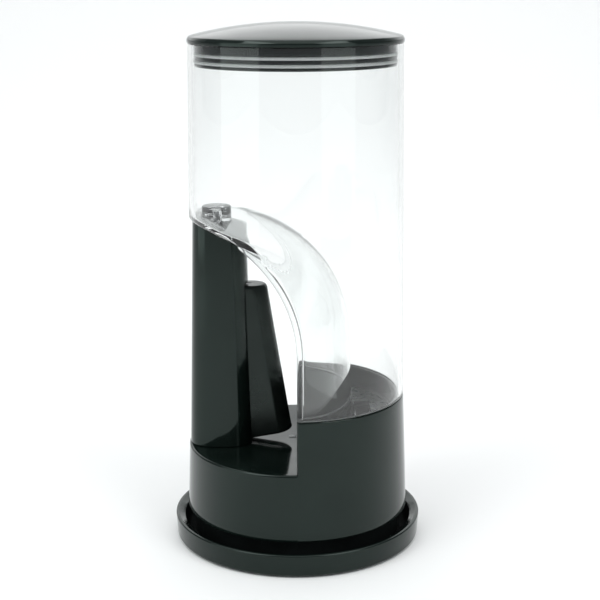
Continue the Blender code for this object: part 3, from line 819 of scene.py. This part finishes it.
def make_trigger():
    """Hollow trigger: rows from its foot up and over its top, thickened inwards."""
    top_round, foot_round = 1.7, 1.4
    rows = []

    def row(share, inset_by, lift):
        """A row at a share of the height, moved in and up."""
        outline = trigger_outline(share, inset_by, TRIGGER_REAR_X)
        return [Vector((x, y, heel + (top - heel) * share + lift)) for x, y, heel, top in outline]

    half = TRIGGER_HALF - 0.02
    rows.append(row(0.0, half, 0.0))
    rows.append(row(0.0, half * 0.5, 0.0))
    rows += [row(0.0, foot_round * (1 - math.sin(a)), foot_round * (1 - math.cos(a)))
             for a in spaced(0.0, math.pi / 2, 4)]
    height = TRIGGER_TOP_Z - HEEL_Z
    rows += [row(s, 0.0, 0.0) for s in spaced(foot_round / height * 1.4, 1 - top_round / height * 1.02, 14)]
    rows += [row(1.0, top_round * (1 - math.cos(a)), -top_round * (1 - math.sin(a)))
             for a in spaced(0.0, math.pi / 2, 7)[1:]]
    rows += [row(1.0, top_round + (half - top_round) * s, 0.0) for s in (0.35, 0.7, 1.0)]
    shape = bmesh.new()
    add_grid(shape, rows)
    trigger = piece_from(shape, "squeeze_trigger", TRIGGER_GLOSS, "trigger", ["trigger"],
                         merge=0.03)
    wall = trigger.modifiers.new("wall", "SOLIDIFY")
    wall.thickness, wall.offset = TRIGGER_WALL * MM, -1.0
    return trigger


# Lid, saucer and the small pieces

def dome_path(radius, apex_z, arcs):
    """Points of a shallow dome at given angles from its apex."""
    return [(radius * math.sin(a), apex_z - radius + radius * math.cos(a)) for a in arcs]


def make_lid():
    low, high = heights("lid_cap")
    arcs = [math.asin(r / LID_DOME_RADIUS) for r in spaced(0.0, LID_RADIUS - 3.4, 16)]
    path = dome_path(LID_DOME_RADIUS, high, arcs)
    edge, shoulder = path[-1]
    rim = [(edge, shoulder, 0), (LID_RADIUS - 1.0, shoulder - 0.75, 1.3), (LID_RADIUS - 0.05, low + 1.9, 0.9),
           (LID_RADIUS - 0.15, low + 0.15, 0.35), (LID_RADIUS - 1.4, low, 0.2), (52.0, low, 0.3),
           (52.0, low + 2.6, 0)]
    path += rounded_path(rim)[1:]
    path += dome_path(LID_DOME_RADIUS - LID_WALL, high - LID_WALL, reversed(arcs[:12]))
    turned_piece("lid_dome", path, GLOSS, "lid", "lid_cap")

    low, high = heights("lid_plug")
    inside, groove = PLUG_RADIUS - PLUG_WALL, PLUG_RADIUS - GROOVE_DEPTH
    corners = [(0.0, low + 2.0, 0), (inside, low + 2.0, 1.2), (inside, high, 0.3), (PLUG_RADIUS, high, 0.3)]
    for node in ("lid_gasket_upper", "lid_gasket_lower"):
        seal_low, seal_high = heights(node)
        corners += [(PLUG_RADIUS, seal_high + 0.15, 0.2), (groove, seal_high + 0.15, 0.0),
                    (groove, seal_low - 0.15, 0.0), (PLUG_RADIUS, seal_low - 0.15, 0.2)]
    corners += [(PLUG_RADIUS, low, 0.6), (0.0, low, 0)]
    turned_piece("lid_stopper", rounded_path(corners, 4), GLOSS, "lid", "lid_plug")

    for name, node in (("upper_seal", "lid_gasket_upper"), ("lower_seal", "lid_gasket_lower")):
        seal_low, seal_high = heights(node)
        inner, outer = groove + 0.15, GASKET_RADIUS
        path = rounded_path([(inner, seal_low, 0.2), (inner, seal_high, 0.2), (outer - 0.35, seal_high, 0.3),
                             (outer, (seal_low + seal_high) / 2, 0.5), (outer - 0.35, seal_low, 0.3)],
                            4, closed=True)
        turned_piece(name, path, GASKET, "lid", node, closed=True)


def make_saucer():
    low, high = heights("saucer")
    outer = SAUCER_RADIUS
    corners = [(0.0, 4.0, 0), (62.8, 4.0, 1.6), (64.5, 11.0, 0.8), (68.2, high, 1.1),
               (outer, high - 0.25, 0.9), (outer - 0.75, low + 1.0, 0.9), (outer - 2.2, low, 0.8),
               (64.2, low, 0.6), (62.8, 1.4, 0.6), (0.0, 1.4, 0)]
    shape = bmesh.new()
    add_turned(shape, rounded_path(corners, 6))
    saucer = piece_from(shape, "saucer_dish", GLOSS, "saucer", ["saucer"])
    # painted shade: the dish's inside under the base gets the nearly non-reflecting matt black
    saucer.data.materials.append(SHADE_MATT)
    for face in saucer.data.polygons:
        if face.center.to_2d().length < SAUCER_SHADE_RADIUS * MM and face.center.z > 3.5 * MM:
            face.material_index = 1


def dress_cad_nodes():
    """Materials, and rounded edges where a hard CAD edge would show, for the nodes that stay."""
    # the bottom cover's matt finish has its reflections dulled nearly away, partly as painted shade for the
    # gap over the saucer
    looks = {"bottom_cover": SHADE_MATT, "hopper_chute": SATIN, "metering_housing": SATIN, "metering_slide": SATIN,
             "trigger_lever": SATIN, "pivot_pin": STEEL, "return_spring": STEEL, "canister_screw": STEEL,
             "post_screw_1": STEEL, "post_screw_2": STEEL}
    looks.update({f"foot_pad_{i}": RUBBER for i in range(1, 5)})
    looks.update({f"cover_screw_{i}": STEEL for i in range(1, 5)})
    for name, look in looks.items():
        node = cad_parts[name]
        node.data.materials.clear()
        node.data.materials.append(look)
        if look in (SATIN, SHADE_MATT):
            edges = node.modifiers.new("edges", "BEVEL")
            edges.width, edges.segments, edges.limit_method = 0.0003, 2, "ANGLE"
            edges.angle_limit = math.radians(50)


# Studio

def stage_look(name, colour, emission=0.0):
    look, shader = new_look(name, colour, 0.9)
    shader.inputs["Specular IOR Level"].default_value = 0.1
    shader.inputs["Emission Color"].default_value = (1.0, 1.0, 1.0, 1.0)
    shader.inputs["Emission Strength"].default_value = emission
    return look


def make_floor():
    """Pale floor that sweeps up behind the object."""
    shape = bmesh.new()
    back, bend, top, half = 1500.0, 500.0, 1900.0, 2600.0
    path = [(-2600.0, 0.0), (-300.0, 0.0), (0.0, 0.0), (300.0, 0.0), (back - bend, 0.0)]
    path += [(back - bend + bend * math.sin(a), bend - bend * math.cos(a))
             for a in spaced(0.0, math.pi / 2, 24)[1:]]
    path.append((back, top))
    add_grid(shape, [[Vector((x, y, z)) for x in (-half, half)] for y, z in path])
    paper = stage_look("sweep_paper", (0.885, 0.89, 0.89))
    floor = piece_from(shape, "studio_sweep", paper, None, None)


def area_light(name, place, aim, size, power, colour=(1.0, 1.0, 1.0)):
    light = bpy.data.lights.new(name, "AREA")
    light.shape, light.size, light.size_y = "RECTANGLE", size[0], size[1]
    light.energy, light.color = power, colour
    holder = bpy.data.objects.new(name, light)
    bpy.context.scene.collection.objects.link(holder)
    holder.location = place
    holder.rotation_euler = (Vector(aim) - Vector(place)).to_track_quat("-Z", "Y").to_euler()
    holder.visible_camera = holder.visible_transmission = False


def make_studio():
    world = bpy.data.worlds.new("studio")
    bpy.context.scene.world = world
    world.use_nodes = True
    world.node_tree.nodes["Background"].inputs["Color"].default_value = (0.93, 0.97, 1.0, 1.0)
    world.node_tree.nodes["Background"].inputs["Strength"].default_value = 0.28
    make_floor()
    area_light("sky_panel", (0.0, -0.05, 1.9), (0.0, 0.0, 0.0), (2.6, 2.4), 27.0)
    area_light("sweep_light", (0.0, 0.60, 1.45), (0.0, 1.5, 0.50), (2.6, 0.6), 3.4)
    area_light("rear_panel", (0.0, 1.25, 0.86), (0.0, 0.0, 0.25), (2.4, 0.7), 3.2)
    area_light("left_top_panel", (-0.95, -0.85, 1.35), (0.0, 0.0, 0.1), (0.9, 0.8), 6.8)
    area_light("right_top_panel", (0.95, -0.85, 1.35), (0.0, 0.0, 0.1), (0.9, 0.8), 6.8)
    area_light("left_softbox", (-0.72, -0.42, 0.40), (0.0, 0.0, 0.25), (0.72, 0.76), 2.0, (0.90, 1.0, 0.97))
    area_light("right_softbox", (0.62, -0.64, 0.40), (0.0, 0.0, 0.25), (0.62, 0.76), 1.4, (0.90, 1.0, 0.97))


def make_camera():
    pitch, roll = math.radians(13.74), math.radians(-0.226)
    data = bpy.data.cameras.new("camera")
    data.lens, data.sensor_width = 81.0, 36.0
    data.shift_x = 0.0057
    data.clip_start, data.clip_end = 0.05, 20.0
    camera = bpy.data.objects.new("camera", data)
    bpy.context.scene.collection.objects.link(camera)
    turn = Matrix.Rotation(math.pi / 2 - pitch, 4, "X") @ Matrix.Rotation(roll, 4, "Z")
    camera.matrix_world = Matrix.Translation((0.0, -0.732, 0.3148)) @ turn
    bpy.context.scene.camera = camera


make_canister()
make_raised_part()
make_low_part()
make_post()
make_trigger()
make_lid()
make_saucer()
dress_cad_nodes()
make_studio()
make_camera()

bpy.context.scene.view_settings.view_transform = "Standard"
